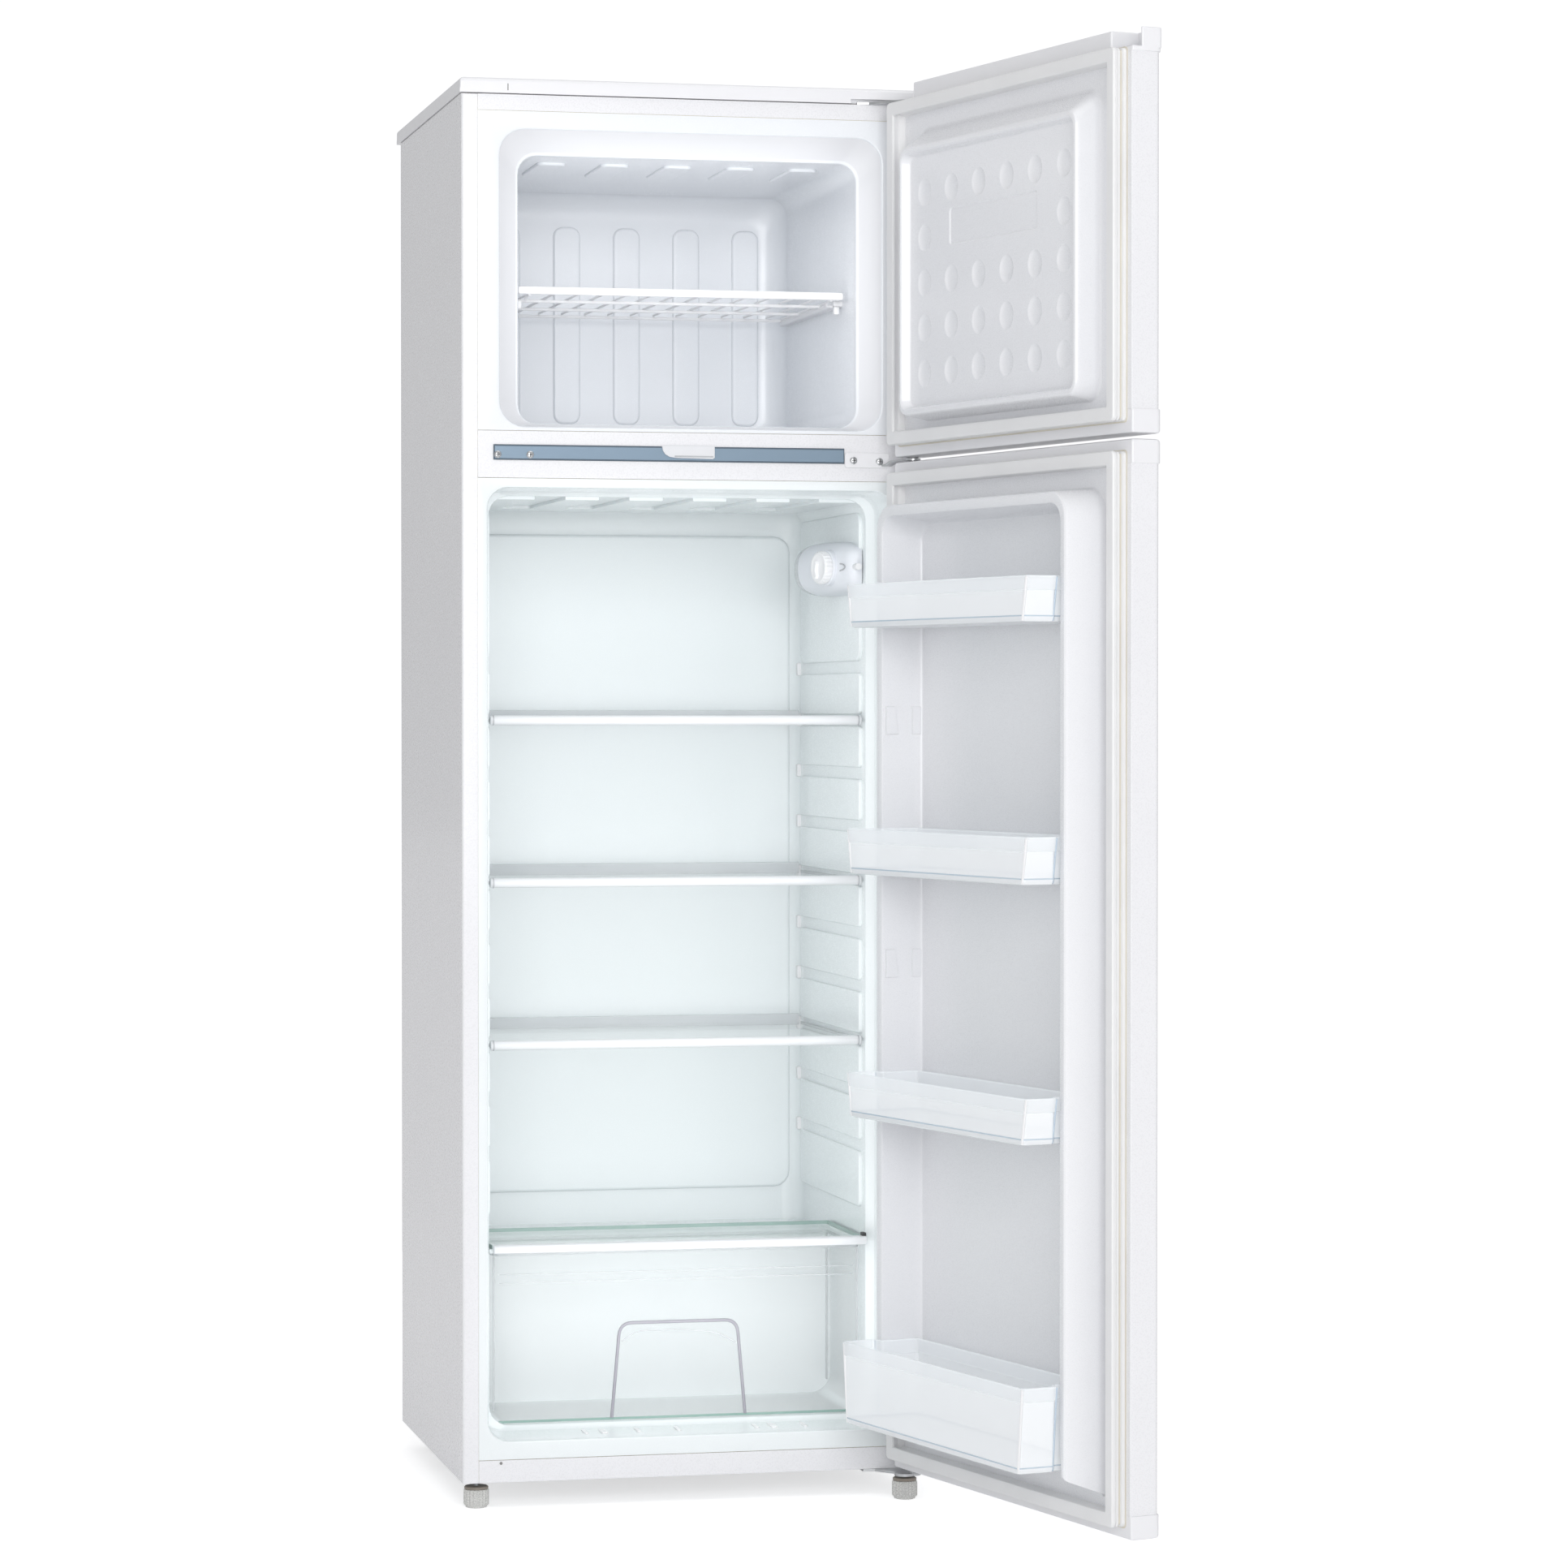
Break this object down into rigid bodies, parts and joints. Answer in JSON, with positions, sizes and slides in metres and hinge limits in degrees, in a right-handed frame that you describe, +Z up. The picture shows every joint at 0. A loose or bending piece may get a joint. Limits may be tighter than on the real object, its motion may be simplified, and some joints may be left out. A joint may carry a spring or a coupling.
{
  "type": "top freezer refrigerator",
  "caption": "Tall narrow two-door refrigerator with a freezer compartment above, wire and glass shelves, a crisper drawer, lift-out door bins and a rear condenser.",
  "frame": {"origin": "floor level, under the middle of the front left foot", "axes": "+Z up, -Y to the front where the doors are, +X to the right where they are hinged"},
  "size_m": [0.677, 1.0715, 1.66],
  "materials": {
    "white_steel": "smooth white stove enamel",
    "strip_steel": "blue-grey satin paint",
    "black_steel": "satin black paint",
    "plate_steel": "zinc plated",
    "white_plastic": "smooth white moulding",
    "liner_plastic": "vacuum-formed white sheet",
    "frosted_plastic": "frosted clear moulding",
    "clear_plastic": "clear moulding",
    "shelf_glass": "clear plate with a green edge",
    "gasket_rubber": "white bellows profile",
    "foam": "foamed-in insulation",
    "tube_copper": "drawn tube",
    "dark_plastic": "moulded",
    "dark_rubber": "moulded",
    "plate_aluminium": "roll-bonded sheet",
    "lamp_glass": "frosted bulb"
  },
  "bodies": {
    "cabinet": {"cabinet_shell": "white_steel", "back_panel": "white_steel", "base_pan": "plate_steel", "insulation": "foam", "freezer_liner": "liner_plastic", "fridge_liner": "liner_plastic", "divider_rail": "white_plastic", "mullion_strip": "strip_steel", "strip_clip": "white_plastic", "worktop": "white_plastic", "kick_panel": "white_steel", "top_hinge": "plate_steel", "middle_hinge": "white_steel", "bottom_hinge": "plate_steel", "hinge_pins": "plate_steel", "frame_screws": "plate_steel", "compressor_plate": "plate_steel", "compressor_housing": "black_steel", "compressor_motor": "plate_steel", "compressor_grommets": "dark_rubber", "relay_box": "dark_plastic", "power_inlet": "dark_rubber", "drip_tray": "white_plastic", "filter_drier": "tube_copper", "refrigerant_tubes": "tube_copper", "condenser": "black_steel", "evaporator_plates": "plate_aluminium", "lamp_housing": "frosted_plastic", "lamp_holder": "white_plastic", "lamp_bulb": "lamp_glass"},
    "freezer_door": {"freezer_door_skin": "white_steel", "freezer_door_foam": "foam", "freezer_door_liner": "liner_plastic", "freezer_door_gasket": "gasket_rubber", "freezer_door_top_cap": "white_plastic", "freezer_door_bottom_cap": "white_plastic", "freezer_door_bushes": "dark_plastic"},
    "fridge_door": {"fridge_door_skin": "white_steel", "fridge_door_foam": "foam", "fridge_door_liner": "liner_plastic", "fridge_door_gasket": "gasket_rubber", "fridge_door_top_cap": "white_plastic", "fridge_door_bottom_cap": "white_plastic", "fridge_door_bushes": "dark_plastic"},
    "foot_left": {"foot_left": "white_plastic"},
    "foot_right": {"foot_right": "white_plastic"},
    "roller_left": {"roller_left": "dark_plastic"},
    "roller_right": {"roller_right": "dark_plastic"},
    "thermostat_dial": {"thermostat_dial": "white_plastic"},
    "lamp_switch": {"lamp_switch": "white_plastic"},
    "freezer_shelf": {"freezer_shelf": "white_plastic"},
    "shelf_top": {"shelf_top": "shelf_glass"},
    "shelf_middle": {"shelf_middle": "shelf_glass"},
    "shelf_bottom": {"shelf_bottom": "shelf_glass"},
    "crisper_cover": {"crisper_cover": "shelf_glass"},
    "crisper_drawer": {"crisper_drawer": "clear_plastic"},
    "door_bin_top": {"door_bin_top": "frosted_plastic"},
    "door_bin_middle": {"door_bin_middle": "frosted_plastic"},
    "door_bin_lower": {"door_bin_lower": "frosted_plastic"},
    "door_bin_deep": {"door_bin_deep": "frosted_plastic"}
  },
  "joints": [
    {"name": "freezer_door_swing", "type": "hinge", "parent": "cabinet", "child": "freezer_door", "pos_m": [0.5115, -0.051, 1.43], "axis": [0, 0, 1], "range_deg": [-103.5, 6.5]},
    {"name": "fridge_door_swing", "type": "hinge", "parent": "cabinet", "child": "fridge_door", "pos_m": [0.5115, -0.051, 0.62], "axis": [0, 0, 1], "range_deg": [-103.5, 6.5]},
    {"name": "freezer_shelf_slide", "type": "slide", "parent": "cabinet", "child": "freezer_shelf", "axis": [0, -1, 0], "range_m": [0, 0.25]},
    {"name": "shelf_top_slide", "type": "slide", "parent": "cabinet", "child": "shelf_top", "axis": [0, -1, 0], "range_m": [0, 0.11]},
    {"name": "shelf_middle_slide", "type": "slide", "parent": "cabinet", "child": "shelf_middle", "axis": [0, -1, 0], "range_m": [0, 0.11]},
    {"name": "shelf_bottom_slide", "type": "slide", "parent": "cabinet", "child": "shelf_bottom", "axis": [0, -1, 0], "range_m": [0, 0.11]},
    {"name": "crisper_cover_slide", "type": "slide", "parent": "cabinet", "child": "crisper_cover", "axis": [0, -1, 0], "range_m": [0, 0.085]},
    {"name": "crisper_drawer_slide", "type": "slide", "parent": "cabinet", "child": "crisper_drawer", "axis": [0, -1, 0], "range_m": [0, 0.16]},
    {"name": "door_bin_top_lift", "type": "slide", "parent": "fridge_door", "child": "door_bin_top", "axis": [0, 0, 1], "range_m": [0, 0.04]},
    {"name": "door_bin_middle_lift", "type": "slide", "parent": "fridge_door", "child": "door_bin_middle", "axis": [0, 0, 1], "range_m": [0, 0.04]},
    {"name": "door_bin_lower_lift", "type": "slide", "parent": "fridge_door", "child": "door_bin_lower", "axis": [0, 0, 1], "range_m": [0, 0.04]},
    {"name": "door_bin_deep_lift", "type": "slide", "parent": "fridge_door", "child": "door_bin_deep", "axis": [0, 0, 1], "range_m": [0, 0.04]},
    {"name": "thermostat_turn", "type": "hinge", "parent": "cabinet", "child": "thermostat_dial", "pos_m": [0.44811, 0.123, 1.1], "axis": [0.9606, 0.2781, 0], "range_deg": [0, 270]},
    {"name": "lamp_switch_press", "type": "slide", "parent": "cabinet", "child": "lamp_switch", "axis": [0, 1, 0], "range_m": [0, 0.006], "stiffness_N_per_m": 200, "springref_m": -0.002},
    {"name": "foot_left_turn", "type": "hinge", "parent": "cabinet", "child": "foot_left", "pos_m": [0, 0, 0.015], "axis": [0, 0, 1], "continuous": true},
    {"name": "foot_right_turn", "type": "hinge", "parent": "cabinet", "child": "foot_right", "pos_m": [0.5015, -0.052, 0.015], "axis": [0, 0, 1], "continuous": true},
    {"name": "roller_left_spin", "type": "hinge", "parent": "cabinet", "child": "roller_left", "pos_m": [0.019, 0.433, 0.016], "axis": [1, 0, 0], "continuous": true},
    {"name": "roller_right_spin", "type": "hinge", "parent": "cabinet", "child": "roller_right", "pos_m": [0.489, 0.433, 0.016], "axis": [1, 0, 0], "continuous": true}
  ]
}
